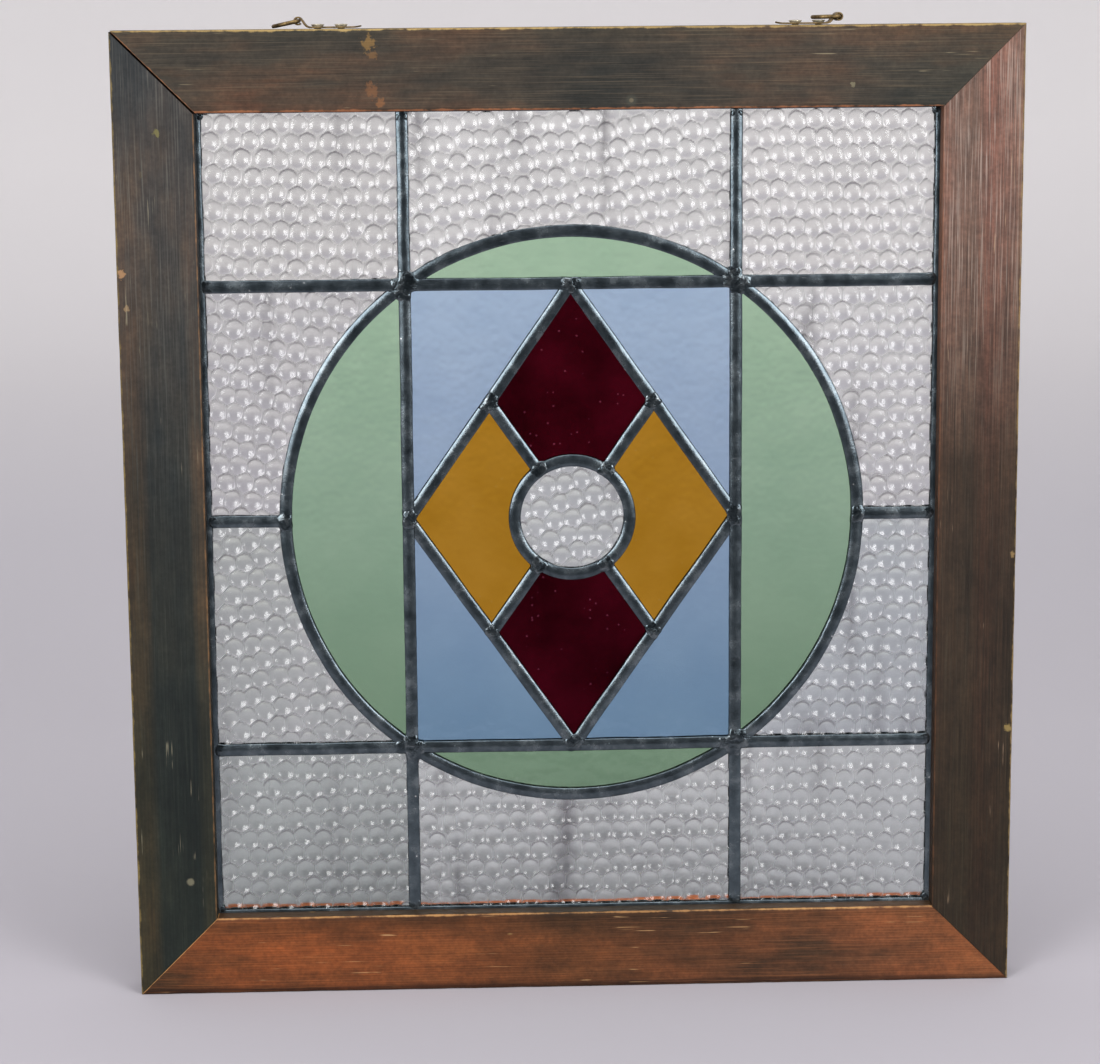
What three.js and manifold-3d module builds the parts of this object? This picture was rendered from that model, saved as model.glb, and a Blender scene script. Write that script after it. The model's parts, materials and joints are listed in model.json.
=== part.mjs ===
import * as THREE from "three";
import { mergeVertices } from "three/addons/utils/BufferGeometryUtils.js";
import Module from "manifold-3d";

// A leaded glass window in a mitred wooden frame, hung by two rings on its top edge.
// Millimetres, +Z up. The origin is the middle of the top edge, halfway through the frame's
// thickness. The front looks along -Y and the window hangs down from the origin.

// Pattern of the panel, measured between the centre lines of the leads
const rectangleWidth = 187.6;
const rectangleHeight = 268.4;
const centerRingRadius = 33;
const sideMargin = 44.9; // from the large circle to the wood beside it
const topMargin = 67.9; // from the large circle to the wood above and below it

// Lead
const cameWidth = 7;
const heartThickness = 1.6;
const flangeEdge = 0.9; // thickness of a flange at its edge
const flangeCrown = 0.5; // how much thicker it is in the middle
const crownWidth = 3.2;
const borderWidth = 10.4;
const sideReveal = 2.9; // what shows of the border lead beside each stile
const endReveal = 0.8; // what shows of it under the top rail and over the bottom rail

// Glass
const glassThickness = 3;
const glassPlay = 0.3; // between the glass and each flange
const edgePlay = 0.5; // between the glass edge and the heart

// Wooden frame
const railWidth = 45.4;
const frontLip = 10.7; // wood in front of the groove
const backLip = 7.3; // wood behind the groove
const arrisRadius = 1;
const arrisSteps = 2;

// Fits
const jointGap = 0.3; // between pieces that meet
const groovePlay = 0.3; // round the panel in its groove

// Hangers
const hangerInset = 104; // from the end of the top edge to the ring's pivot
const strapWidth = 12.7;
const strapThickness = 0.9;
const strapTail = 7.5; // past the inner screw head
const strapLift = 0.7; // how far the tail is bent up
const liftRun = 5;
const rampRun = 6.5; // from the pivot to the flat of the strap
const rampAngle = THREE.MathUtils.degToRad(45);
const curlEnd = THREE.MathUtils.degToRad(225); // where the curl stops under the bar
const curlLift = 1.9; // wood to the underside of the curl
const curlPlay = 0.4; // bar to curl
const rodThickness = 2.2;
const ringSide = 5.4; // straight side of the ring
const ringSidePlay = 1.2; // strap to the ring's side
const ringCorner = 1.8;
const headDiameter = 7.5;
const headHeight = 2.6; // above the wood
const headRim = 0.4;
const headPlay = 0.45; // head to the start of the ramp
const headSpacing = 5.5; // between the two heads
const slotWidth = 1;
const slotDepth = 0.8;
const shankDiameter = 3.6;
const shankLength = 14;
const tipLength = 4;

// Facets
const circleSteps = 72;
const ringSteps = 36;
const curlSteps = 12;
const bendSteps = 4;
const bowSteps = 14;
const cornerSteps = 3;
const tailSteps = 8;
const screwSteps = 16;
const overcut = 5; // how far a cutter runs past what it cuts

// Sizes that follow
const halfWidth = rectangleWidth / 2;
const halfHeight = rectangleHeight / 2;
const diagonal = Math.hypot(halfWidth, halfHeight);
const circleRadius = diagonal;
const diamondInradius = (halfWidth * halfHeight) / diagonal;
const spokeAngle = Math.atan2(halfHeight, halfWidth);
const sightX = circleRadius + sideMargin;
const sightZ = circleRadius + topMargin;
const frameX = sightX + railWidth;
const frameZ = sightZ + railWidth;
const channelWidth = glassThickness + 2 * glassPlay;
const cameDepth = channelWidth + 2 * (flangeEdge + flangeCrown);
const reach = cameWidth / 2 + jointGap; // a centre line to the end of a lead that meets it
const glassEdge = heartThickness / 2 + edgePlay; // a centre line to the edge of the glass
const borderX = sightX - sideReveal;
const borderZ = sightZ - endReveal;
const glassX = borderX + borderWidth / 2 - glassEdge;
const glassZ = borderZ + borderWidth / 2 - glassEdge;
const grooveWidth = cameDepth + 2 * groovePlay;
const stileGroove = borderWidth - sideReveal + groovePlay;
const railGroove = borderWidth - endReveal + groovePlay;
const frameThickness = frontLip + grooveWidth + backLip;
const frontY = -frameThickness / 2;
const panelY = frontY + frontLip + grooveWidth / 2;

const rodRadius = rodThickness / 2;
const pivotZ = curlLift + strapThickness + curlPlay + rodRadius;
const ringHalf = strapWidth / 2 + ringSidePlay + rodRadius;
const ringReach = ringSide + ringHalf; // pivot to the middle of the bow
const headRadius = headDiameter / 2;
const shankRadius = shankDiameter / 2;
const screwXs = [rampRun + headPlay + headRadius];
screwXs.push(screwXs[0] + headDiameter + headSpacing);
const strapLength = screwXs[1] + headRadius + strapTail;
const strapTop = jointGap + strapThickness;
const pilotRadius = shankRadius + jointGap;
const pilotDepth = shankLength + jointGap;
const outboardDip = Math.asin((pivotZ - rodRadius - jointGap) / ringReach);
const inboardDip = Math.asin((pivotZ - headHeight - jointGap - rodRadius) / ringReach);

const wasm = await Module();
wasm.setup();

function solid(geometry) {
  const bare = geometry.clone();
  bare.deleteAttribute("normal");
  bare.deleteAttribute("uv");
  const merged = mergeVertices(bare);
  return new wasm.Manifold(
    new wasm.Mesh({
      numProp: 3,
      vertProperties: merged.attributes.position.array,
      triVerts: new Uint32Array(merged.index.array),
    }),
  );
}

function geometryOf(body) {
  const mesh = body.getMesh();
  const geometry = new THREE.BufferGeometry();
  geometry.setAttribute("position", new THREE.BufferAttribute(mesh.vertProperties, 3));
  geometry.setIndex(new THREE.BufferAttribute(mesh.triVerts, 1));
  geometry.computeVertexNormals();
  return geometry;
}

function named(name, geometry, finish) {
  const mesh = new THREE.Mesh(geometry, new THREE.MeshStandardMaterial(finish));
  mesh.name = name;
  return mesh;
}

const finishes = {
  darkWood: { color: 0x40342a, roughness: 0.75, metalness: 0 },
  greyWood: { color: 0x6b5346, roughness: 0.8, metalness: 0 },
  warmWood: { color: 0x8a5a34, roughness: 0.7, metalness: 0 },
  lead: { color: 0x464b50, roughness: 0.45, metalness: 0.8 },
  metal: { color: 0x6b5a40, roughness: 0.4, metalness: 0.9 },
  clear: { color: 0xc8c8d2, roughness: 0.1, metalness: 0, transparent: true, opacity: 0.4 },
  green: { color: 0x96b49b, roughness: 0.1, metalness: 0, transparent: true, opacity: 0.7 },
  blue: { color: 0x7d9bc0, roughness: 0.1, metalness: 0, transparent: true, opacity: 0.7 },
  red: { color: 0x460510, roughness: 0.1, metalness: 0, transparent: true, opacity: 0.8 },
  amber: { color: 0xa5781e, roughness: 0.1, metalness: 0, transparent: true, opacity: 0.7 },
};

// Points of an arc, both ends included
function arc(centerX, centerY, radius, from, to, steps) {
  return Array.from({ length: steps + 1 }, (_, i) => {
    const angle = from + ((to - from) * i) / steps;
    return new THREE.Vector2(
      centerX + radius * Math.cos(angle),
      centerY + radius * Math.sin(angle),
    );
  });
}

// Panel pieces lie flat as on the bench: x to the right, y up, z towards the front,
// with the middle of the panel at the origin.
function plate(x0, x1, y0, y1, depth) {
  const geometry = new THREE.BoxGeometry(x1 - x0, y1 - y0, depth);
  return solid(geometry.translate((x0 + x1) / 2, (y0 + y1) / 2, 0));
}

function disc(radius, depth, steps) {
  return solid(new THREE.CylinderGeometry(radius, radius, depth, steps).rotateX(Math.PI / 2));
}

function prism(points, depth) {
  const options = { depth, bevelEnabled: false };
  const geometry = new THREE.ExtrudeGeometry(new THREE.Shape(points), options);
  return solid(geometry.translate(0, 0, -depth / 2));
}

// Section of a lead: two domed flanges and the heart between them
function cameSection() {
  const channel = channelWidth / 2;
  const flange = [
    [heartThickness / 2, channel],
    [cameWidth / 2, channel],
    [cameWidth / 2, channel + flangeEdge],
    [crownWidth / 2, cameDepth / 2],
  ];
  const front = [...flange, ...flange.map(([x, y]) => [-x, y]).reverse()];
  const back = front.map(([x, y]) => [-x, -y]);
  return [...front, ...back].map(([x, y]) => new THREE.Vector2(x, y));
}

function straightCame(from, to) {
  const along = to.clone().sub(from);
  const options = { depth: along.length(), bevelEnabled: false };
  const geometry = new THREE.ExtrudeGeometry(new THREE.Shape(cameSection()), options);
  along.normalize();
  const turn = new THREE.Matrix4().makeBasis(
    new THREE.Vector3(-along.y, along.x, 0),
    new THREE.Vector3(0, 0, 1),
    new THREE.Vector3(along.x, along.y, 0),
  );
  return geometry.applyMatrix4(turn.setPosition(from.x, from.y, 0));
}

function roundCame(radius, steps) {
  const section = cameSection().map((p) => new THREE.Vector2(radius + p.x, p.y));
  return new THREE.LatheGeometry([...section, section[0]], steps).rotateX(Math.PI / 2);
}

// The diamond between the middles of the rectangle's sides, grown or shrunk by an offset
function diamond(offset, depth) {
  const share = 1 + offset / diamondInradius;
  const x = halfWidth * share;
  const y = halfHeight * share;
  const corners = [[x, 0], [0, y], [-x, 0], [0, -y]];
  return prism(corners.map(([px, py]) => new THREE.Vector2(px, py)), depth);
}

// The space between two spokes, kept clear of both by the glass edge
function betweenSpokes(middle, halfAngle, depth) {
  const apex = glassEdge / Math.sin(halfAngle);
  const far = rectangleWidth + rectangleHeight;
  const corner = (angle) =>
    new THREE.Vector2(
      apex * Math.cos(middle) + far * Math.cos(angle),
      apex * Math.sin(middle) + far * Math.sin(angle),
    );
  const start = new THREE.Vector2(apex * Math.cos(middle), apex * Math.sin(middle));
  return prism([start, corner(middle - halfAngle), corner(middle + halfAngle)], depth);
}

function borderCame() {
  const across = (inset, depth) =>
    plate(
      -(borderX + borderWidth - inset), borderX + borderWidth - inset,
      -(borderZ + borderWidth - inset), borderZ + borderWidth - inset,
      depth,
    );
  const heartOut = (borderWidth - heartThickness) / 2;
  const ring = across(0, cameDepth).subtract(across(borderWidth, cameDepth + overcut));
  const innerChannel = across(heartOut + heartThickness, channelWidth);
  const outerChannel = across(-overcut, channelWidth).subtract(across(heartOut, cameDepth));
  return ring.subtract(innerChannel).subtract(outerChannel);
}

const at = (x, y) => new THREE.Vector2(x, y);
const sides = [["left", -1], ["right", 1]];
const levels = [["bottom", -1], ["top", 1]];
const halves = [["lower", -1], ["upper", 1]];
const deep = cameDepth + overcut;
const beyond = circleRadius + cameWidth;

function addLeads(panel) {
  const add = (name, geometry) => panel.add(named(name, geometry, finishes.lead));
  const circle = solid(roundCame(circleRadius, circleSteps));

  add("border_came", geometryOf(borderCame()));
  for (const [side, x] of sides) {
    const end = borderZ - jointGap;
    add(`vertical_came_${side}`, straightCame(at(x * halfWidth, -end), at(x * halfWidth, end)));
    const outer = x * (borderX - jointGap);
    add(`side_came_${side}`, straightCame(at(x * (circleRadius + reach), 0), at(outer, 0)));

    const innerX = x * (halfWidth + reach);
    const bounds = [innerX, x * beyond].sort((a, b) => a - b);
    const cell = plate(...bounds, reach - halfHeight, halfHeight - reach, deep);
    add(`arc_came_${side}`, geometryOf(circle.intersect(cell)));

    for (const [level, y] of levels) {
      const height = y * halfHeight;
      const lead = straightCame(at(innerX, height), at(outer, height));
      add(`horizontal_came_${level}_${side}`, lead);
    }
  }
  for (const [level, y] of levels) {
    const end = halfWidth - reach;
    const lead = straightCame(at(-end, y * halfHeight), at(end, y * halfHeight));
    add(`horizontal_came_${level}_center`, lead);
    const bounds = [y * (halfHeight + reach), y * beyond].sort((a, b) => a - b);
    const cell = plate(-end, end, ...bounds, deep);
    add(`arc_came_${level}`, geometryOf(circle.intersect(cell)));
  }
  for (const [half, y] of halves) {
    for (const [side, x] of sides) {
      const boundsX = [(x * jointGap) / 2, x * (halfWidth - reach)].sort((a, b) => a - b);
      const boundsY = [(y * jointGap) / 2, y * (halfHeight - reach)].sort((a, b) => a - b);
      const cell = plate(...boundsX, ...boundsY, deep);
      const edge = solid(straightCame(at(0, y * halfHeight), at(x * halfWidth, 0)));
      add(`diamond_came_${half}_${side}`, geometryOf(edge.intersect(cell)));

      const spoke = solid(straightCame(at(0, 0), at((x * halfWidth) / 2, (y * halfHeight) / 2)))
        .intersect(diamond(-reach, deep))
        .subtract(disc(centerRingRadius + reach, deep, ringSteps));
      add(`spoke_came_${half}_${side}`, geometryOf(spoke));
    }
  }
  add("ring_came", roundCame(centerRingRadius, ringSteps));
}

function addPanes(panel) {
  const add = (tint, place, body) =>
    panel.add(named(`${tint}_pane_${place}`, geometryOf(body), finishes[tint]));
  const outside = disc(circleRadius + glassEdge, deep, circleSteps);
  const inside = disc(circleRadius - glassEdge, deep, circleSteps);
  const sheet = (xs, ys) =>
    plate(
      Math.min(...xs), Math.max(...xs),
      Math.min(...ys), Math.max(...ys),
      glassThickness,
    );

  for (const [side, x] of sides) {
    const besideCame = [x * (halfWidth + glassEdge), x * glassX];
    for (const [level, y] of levels) {
      const corner = sheet(besideCame, [y * (halfHeight + glassEdge), y * glassZ]);
      add("clear", `${level}_${side}`, corner);
    }
    for (const [half, y] of halves) {
      const beside = sheet(besideCame, [y * glassEdge, y * (halfHeight - glassEdge)]);
      add("clear", `${side}_${half}`, beside.subtract(outside));

      const quarter = sheet([0, x * (halfWidth - glassEdge)], [0, y * (halfHeight - glassEdge)]);
      add("blue", `${half}_${side}`, quarter.subtract(diamond(glassEdge, deep)));
    }
    const middle = [glassEdge - halfHeight, halfHeight - glassEdge];
    add("green", side, sheet(besideCame, middle).intersect(inside));
  }
  const across = [glassEdge - halfWidth, halfWidth - glassEdge];
  for (const [level, y] of levels) {
    const center = sheet(across, [y * (halfHeight + glassEdge), y * glassZ]);
    add("clear", `${level}_center`, center.subtract(outside));
    add("green", level, center.intersect(inside));
  }

  const lozenge = diamond(-glassEdge, glassThickness).subtract(
    disc(centerRingRadius + glassEdge, deep, ringSteps),
  );
  const upright = Math.PI / 2;
  for (const [half, y] of halves) {
    const wedge = betweenSpokes(y * upright, upright - spokeAngle, deep);
    add("red", half, lozenge.intersect(wedge));
  }
  for (const [side, x] of sides) {
    const wedge = betweenSpokes(x > 0 ? 0 : Math.PI, spokeAngle, deep);
    add("amber", side, lozenge.intersect(wedge));
  }
  add("clear", "center", disc(centerRingRadius - glassEdge, glassThickness, ringSteps));
}

// A frame member: x points out of the window, y to its back and z along the member.
// The outer edge lies at x = 0.
function frameMember(length, grooveDepth) {
  const back = frameThickness / 2;
  const r = arrisRadius;
  const quarter = Math.PI / 2;
  const corner = (x, y, start) => arc(x, y, r, start, start + quarter, arrisSteps);
  const grooveFront = frontY + frontLip;
  const floor = grooveDepth - railWidth;
  const section = [
    ...corner(-railWidth + r, frontY + r, 2 * quarter),
    ...corner(-r, frontY + r, 3 * quarter),
    ...corner(-r, back - r, 0),
    ...corner(-railWidth + r, back - r, quarter),
    at(-railWidth, grooveFront + grooveWidth),
    at(floor, grooveFront + grooveWidth),
    at(floor, grooveFront),
    at(-railWidth, grooveFront),
  ];
  const mitreBack = jointGap / Math.SQRT2;
  const outer = length / 2 + overcut - mitreBack;
  const inner = length / 2 - railWidth - overcut - mitreBack;
  const outline = [
    at(overcut, -outer),
    at(overcut, outer),
    at(-railWidth - overcut, inner),
    at(-railWidth - overcut, -inner),
  ];
  const mitred = prism(outline, frameThickness + overcut).rotate([90, 0, 0]);
  return prism(section, length).intersect(mitred);
}

// Holes for the hanger screws, in the top rail's own frame
function pilotHoles(rail) {
  const depth = pilotDepth + overcut;
  for (const side of [-1, 1]) {
    for (const offset of screwXs) {
      const hole = new THREE.CylinderGeometry(pilotRadius, pilotRadius, depth, screwSteps);
      hole.rotateZ(Math.PI / 2);
      hole.translate(overcut - depth / 2, 0, side * (frameX - hangerInset - offset));
      rail = rail.subtract(solid(hole));
    }
  }
  return rail;
}

function addFrame(frame) {
  const rail = frameMember(2 * frameX, railGroove);
  const stile = frameMember(2 * frameZ, stileGroove);
  const quarter = Math.PI / 2;
  const members = [
    ["top_rail", pilotHoles(rail), -quarter, 0, frameZ, finishes.darkWood],
    ["bottom_rail", rail, quarter, 0, -frameZ, finishes.warmWood],
    ["left_stile", stile, 2 * quarter, -frameX, 0, finishes.darkWood],
    ["right_stile", stile, 0, frameX, 0, finishes.greyWood],
  ];
  for (const [name, body, turn, x, z, finish] of members) {
    const member = named(name, geometryOf(body), finish);
    member.rotation.y = turn;
    member.position.set(x, 0, z);
    frame.add(member);
  }
}

// A hanger stands on the wood under the pivot of its ring: x points outboard, z up.
function strap() {
  const bed = jointGap + strapThickness / 2;
  const curlRadius = rodRadius + curlPlay + strapThickness / 2;
  const leave = Math.PI / 2 + rampAngle;
  const curl = arc(0, pivotZ, curlRadius, curlEnd - 2 * Math.PI, leave, curlSteps);
  const top = curl[curl.length - 1];
  const pull = (rampRun + top.x) / 2;
  const ramp = new THREE.CubicBezierCurve(
    top,
    at(top.x - pull * Math.cos(rampAngle), top.y - pull * Math.sin(rampAngle)),
    at(pull - rampRun, bed),
    at(-rampRun, bed),
  ).getPoints(bendSteps);
  const tail = new THREE.QuadraticBezierCurve(
    at(liftRun - strapLength, bed),
    at(liftRun / 2 - strapLength, bed),
    at(-strapLength, bed + strapLift),
  ).getPoints(bendSteps);
  const line = [...curl, ...ramp.slice(1), ...tail];
  const edge = (side) =>
    line.map((point, i) => {
      const before = line[Math.max(i - 1, 0)];
      const after = line[Math.min(i + 1, line.length - 1)];
      const along = after.clone().sub(before).normalize();
      const shift = (side * strapThickness) / 2;
      return at(point.x - along.y * shift, point.y + along.x * shift);
    });
  const strip = prism([...edge(1), ...edge(-1).reverse()], strapWidth).rotate([90, 0, 0]);

  const half = strapWidth / 2;
  const outline = [
    at(ringHalf, -half),
    at(ringHalf, half),
    ...arc(half - strapLength, 0, half, Math.PI / 2, (3 * Math.PI) / 2, tailSteps),
  ];
  let body = strip.intersect(prism(outline, deep * 2));
  const coneShare = strapTop / (headHeight - headRim);
  const holeRadius = shankRadius + (headRadius - shankRadius) * coneShare + jointGap;
  for (const offset of screwXs) {
    body = body.subtract(disc(holeRadius, deep, screwSteps).translate([-offset, 0, 0]));
  }
  return geometryOf(body);
}

// The ring lies in its own plane: its bar along y through the origin, its bow towards x.
function ring() {
  const quarter = Math.PI / 2;
  const outline = (offset) => {
    const half = ringHalf + offset;
    const round = ringCorner + offset;
    const inset = round - offset;
    return [
      ...arc(ringSide, 0, half, -quarter, quarter, bowSteps),
      ...arc(inset, half - round, round, quarter, 2 * quarter, cornerSteps),
      ...arc(inset, round - half, round, 2 * quarter, 3 * quarter, cornerSteps),
    ];
  };
  const shape = new THREE.Shape(outline(rodRadius));
  shape.holes.push(new THREE.Path(outline(-rodRadius)));
  const flat = rodThickness * (Math.SQRT2 - 1); // an eight-sided rod
  const bevel = (rodThickness - flat) / 2;
  return new THREE.ExtrudeGeometry(shape, {
    depth: flat,
    bevelThickness: bevel,
    bevelSize: bevel,
    bevelOffset: -bevel,
    bevelSegments: 1,
  }).translate(0, 0, -flat / 2);
}

function screw() {
  const profile = [
    [0, -shankLength],
    [shankRadius, tipLength - shankLength],
    [shankRadius, 0],
    [headRadius, headHeight - headRim],
    [headRadius, headHeight],
    [0, headHeight],
  ].map(([x, y]) => new THREE.Vector2(x, y));
  const body = solid(new THREE.LatheGeometry(profile, screwSteps).rotateX(Math.PI / 2));
  const slot = solid(
    new THREE.BoxGeometry(slotWidth, headDiameter + overcut, slotDepth * 2)
      .translate(0, 0, headHeight),
  );
  return geometryOf(body.subtract(slot));
}

function addHanger(frame, side, x, ringTurn) {
  const hanger = new THREE.Group();
  hanger.position.set(x, 0, frameZ);
  hanger.rotation.z = x < 0 ? Math.PI : 0;
  hanger.add(named(`${side}_strap`, strap(), finishes.metal));
  const loop = named(`${side}_ring`, ring(), finishes.metal);
  loop.position.z = pivotZ;
  loop.rotation.y = ringTurn;
  hanger.add(loop);
  [["outer", 0], ["inner", 1]].forEach(([place, i]) => {
    const fixing = named(`${side}_screw_${place}`, screw(), finishes.metal);
    fixing.position.x = -screwXs[i];
    hanger.add(fixing);
  });
  frame.add(hanger);
}

const panel = new THREE.Group();
panel.rotation.x = Math.PI / 2;
panel.position.y = panelY;
addLeads(panel);
addPanes(panel);

// The frame's own group has its middle at the origin, and the window hangs below its top edge.
const frame = new THREE.Group();
frame.position.z = -frameZ;
frame.add(panel);
addFrame(frame);
addHanger(frame, "left", hangerInset - frameX, outboardDip);
addHanger(frame, "right", frameX - hangerInset, Math.PI - inboardDip);

const stainedGlassWindow = new THREE.Group();
stainedGlassWindow.add(frame);

export default stainedGlassWindow;
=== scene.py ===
import json
import math
import random

import bmesh
import bpy
from mathutils import Matrix, Vector, kdtree, noise

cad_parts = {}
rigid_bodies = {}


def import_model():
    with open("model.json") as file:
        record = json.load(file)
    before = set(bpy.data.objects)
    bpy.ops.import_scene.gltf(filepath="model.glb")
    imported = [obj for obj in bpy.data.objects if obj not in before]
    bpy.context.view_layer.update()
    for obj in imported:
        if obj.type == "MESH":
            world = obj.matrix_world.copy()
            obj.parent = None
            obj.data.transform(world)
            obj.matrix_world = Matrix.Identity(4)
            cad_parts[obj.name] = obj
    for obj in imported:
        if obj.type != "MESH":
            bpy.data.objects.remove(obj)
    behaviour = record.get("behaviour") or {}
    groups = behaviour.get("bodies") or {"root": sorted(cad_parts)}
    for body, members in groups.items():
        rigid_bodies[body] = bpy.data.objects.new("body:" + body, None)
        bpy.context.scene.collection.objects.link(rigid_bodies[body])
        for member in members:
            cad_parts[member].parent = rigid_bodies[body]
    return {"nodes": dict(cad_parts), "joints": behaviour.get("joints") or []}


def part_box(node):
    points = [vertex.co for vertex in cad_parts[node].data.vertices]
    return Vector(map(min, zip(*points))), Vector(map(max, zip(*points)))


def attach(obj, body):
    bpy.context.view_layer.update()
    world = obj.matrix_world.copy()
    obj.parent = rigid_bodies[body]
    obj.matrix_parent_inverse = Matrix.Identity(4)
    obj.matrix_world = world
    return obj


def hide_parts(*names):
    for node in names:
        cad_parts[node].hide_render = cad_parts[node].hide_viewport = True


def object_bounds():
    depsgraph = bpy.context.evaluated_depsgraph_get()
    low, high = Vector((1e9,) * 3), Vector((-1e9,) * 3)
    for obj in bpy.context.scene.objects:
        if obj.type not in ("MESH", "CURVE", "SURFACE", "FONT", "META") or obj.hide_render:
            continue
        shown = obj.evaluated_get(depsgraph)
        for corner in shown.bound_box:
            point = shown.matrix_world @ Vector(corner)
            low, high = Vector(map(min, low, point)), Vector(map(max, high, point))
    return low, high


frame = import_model()
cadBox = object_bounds()
scene = bpy.context.scene
print("frame loaded:", len(frame["nodes"]), "nodes")

# ---- Sizes that the pieces share, read from the frame, in millimetres ----
# The panel is worked on as on the bench: x to the right, y up, z to the front, with the
# middle of the panel at the origin. benchPlace stands it up in the frame.
mm = 0.001
low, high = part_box("ring_came")
panelMiddle = (low + high) / 2
benchPlace = (
    Matrix.Translation(panelMiddle)
    @ Matrix.Rotation(math.radians(90), 4, "X")
    @ Matrix.Scale(mm, 4)
)


def benchBox(node):
    low, high = (benchPlace.inverted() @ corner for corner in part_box(node))
    return Vector(map(min, low, high)), Vector(map(max, low, high))


low, high = benchBox("vertical_came_right")
leadHalf = (high.x - low.x) / 2
leadX = high.x - leadHalf
leadCrown = high.z
leadY = benchBox("horizontal_came_top_center")[1].y - leadHalf
circleRadius = math.hypot(leadX, leadY)
ringRadius = benchBox("ring_came")[1].x - leadHalf
spokeAngle = math.atan2(leadY, leadX)
borderOuter = benchBox("border_came")[1]
glassHalf = benchBox("clear_pane_center")[1].z
sightX = benchBox("right_stile")[0].x
sightY = benchBox("top_rail")[0].y
sides = {"left": -1, "right": 1}
levels = {"bottom": -1, "top": 1}
halves = {"lower": -1, "upper": 1}


# ---- Helpers for finishes ----
def tone(red, green, blue):   # 0 to 255, as on a screen
    return tuple(
        value / 255 / 12.92 if value < 11 else ((value / 255 + 0.055) / 1.055) ** 2.4
        for value in (red, green, blue)
    ) + (1,)


def addNode(tree, kind, sockets=None, **settings):
    made = tree.nodes.new("ShaderNode" + kind)
    for name, value in settings.items():
        setattr(made, name, value)
    for name, value in (sockets or {}).items():
        if isinstance(value, bpy.types.NodeSocket):
            tree.links.new(value, made.inputs[name])
        else:
            made.inputs[name].default_value = value
    return made


def figure(tree, operation, first, second=0.0):
    return addNode(tree, "Math", {0: first, 1: second}, operation=operation).outputs[0]


def grown(tree, value, factor, more):   # value times factor, plus more
    sockets = {0: value, 1: factor, 2: more}
    return addNode(tree, "Math", sockets, operation="MULTIPLY_ADD").outputs[0]


def spread(tree, value, start, end, low, high):
    sockets = {"Value": value, "From Min": start, "From Max": end, "To Min": low, "To Max": high}
    return addNode(tree, "MapRange", sockets).outputs[0]


def fade(tree, value, start, end, most=1.0):
    sockets = {"Value": value, "From Min": start, "From Max": end, "To Max": most}
    return addNode(tree, "MapRange", sockets, interpolation_type="SMOOTHSTEP").outputs[0]


def mixed(tree, share, first, second, mode="MIX"):
    sockets = {0: share, 6: first, 7: second}
    return addNode(tree, "Mix", sockets, data_type="RGBA", blend_type=mode).outputs[2]


def tinted(tree, color, tint):
    return mixed(tree, 1.0, color, tint, "MULTIPLY")


def ramp(tree, value, *stops):
    made = addNode(tree, "ValToRGB", {"Fac": value})
    elements = made.color_ramp.elements
    while len(elements) < len(stops):
        elements.new(1)
    for element, (position, color) in zip(elements, stops):
        element.position = position
        element.color = (*color[:3], 1)
    return made.outputs["Color"]


def stretched(tree, scale=(1, 1, 1), turn=(0, 0, 0), shift=(0, 0, 0)):
    coordinates = addNode(tree, "TexCoord").outputs["Object"]
    sockets = {"Vector": coordinates, "Scale": scale, "Rotation": turn, "Location": shift}
    return addNode(tree, "Mapping", sockets).outputs[0]


def mottle(tree, vector, scale, detail=3, roughness=0.6, distortion=0.0):
    sockets = {
        "Vector": vector, "Scale": scale, "Detail": detail,
        "Roughness": roughness, "Distortion": distortion,
    }
    return addNode(tree, "TexNoise", sockets).outputs["Fac"]


def specks(tree, vector, scale, size, share):
    cells = addNode(tree, "TexVoronoi", {"Vector": vector, "Scale": scale})
    pick = addNode(tree, "SeparateColor", {"Color": cells.outputs["Color"]}).outputs[0]
    dots = fade(tree, cells.outputs["Distance"], size, size * 0.55)
    return figure(tree, "MULTIPLY", dots, fade(tree, pick, 1 - share, 1 - share + 0.01))


def attribute(tree, name):
    return addNode(tree, "Attribute", attribute_name=name).outputs["Fac"]


def bumped(tree, height, strength, depth):
    sockets = {"Height": height, "Strength": strength, "Distance": depth}
    return addNode(tree, "Bump", sockets).outputs[0]


def newFinish(name):
    finish = bpy.data.materials.new(name)
    finish.use_nodes = True
    return finish, finish.node_tree, finish.node_tree.nodes["Principled BSDF"]


def wire(tree, shader, color, dull=None, relief=None):
    for name, value in (("Base Color", color), ("Roughness", dull), ("Normal", relief)):
        if value:
            tree.links.new(value, shader.inputs[name])


# ---- Helpers for pieces ----
def meshOf(bm, name, *finishes):
    mesh = bpy.data.meshes.new(name)
    bm.to_mesh(mesh)
    bm.free()
    for finish in finishes:
        mesh.materials.append(finish)
    return mesh


def addObject(name, data):
    made = bpy.data.objects.new(name, data)
    scene.collection.objects.link(made)
    return made


def makePiece(bm, name, finish, nodes=(), body="window", place=benchPlace, crease=38):
    bmesh.ops.transform(bm, matrix=place, verts=bm.verts)
    bmesh.ops.recalc_face_normals(bm, faces=bm.faces)
    for face in bm.faces:
        face.smooth = True
    for edge in bm.edges:
        edge.smooth = edge.is_manifold and edge.calc_face_angle() < math.radians(crease)
    piece = addObject(name, meshOf(bm, name, finish))
    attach(piece, body)
    if nodes:
        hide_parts(*nodes)
    return piece


def everything(bm):
    return bm.verts[:] + bm.edges[:] + bm.faces[:]


def trim(bm, point, outward):
    bmesh.ops.bisect_plane(
        bm, geom=everything(bm), dist=1e-4, plane_co=point, plane_no=outward, clear_outer=True
    )


def closeEnds(bm):
    openEdges = [edge for edge in bm.edges if edge.is_boundary]
    bmesh.ops.holes_fill(bm, edges=openEdges, sides=0)


def turnRound(bm, geom, steps):
    bmesh.ops.spin(
        bm, geom=geom, cent=(0, 0, 0), axis=(0, 0, 1), angle=2 * math.pi, steps=steps,
        use_merge=True,
    )


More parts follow.
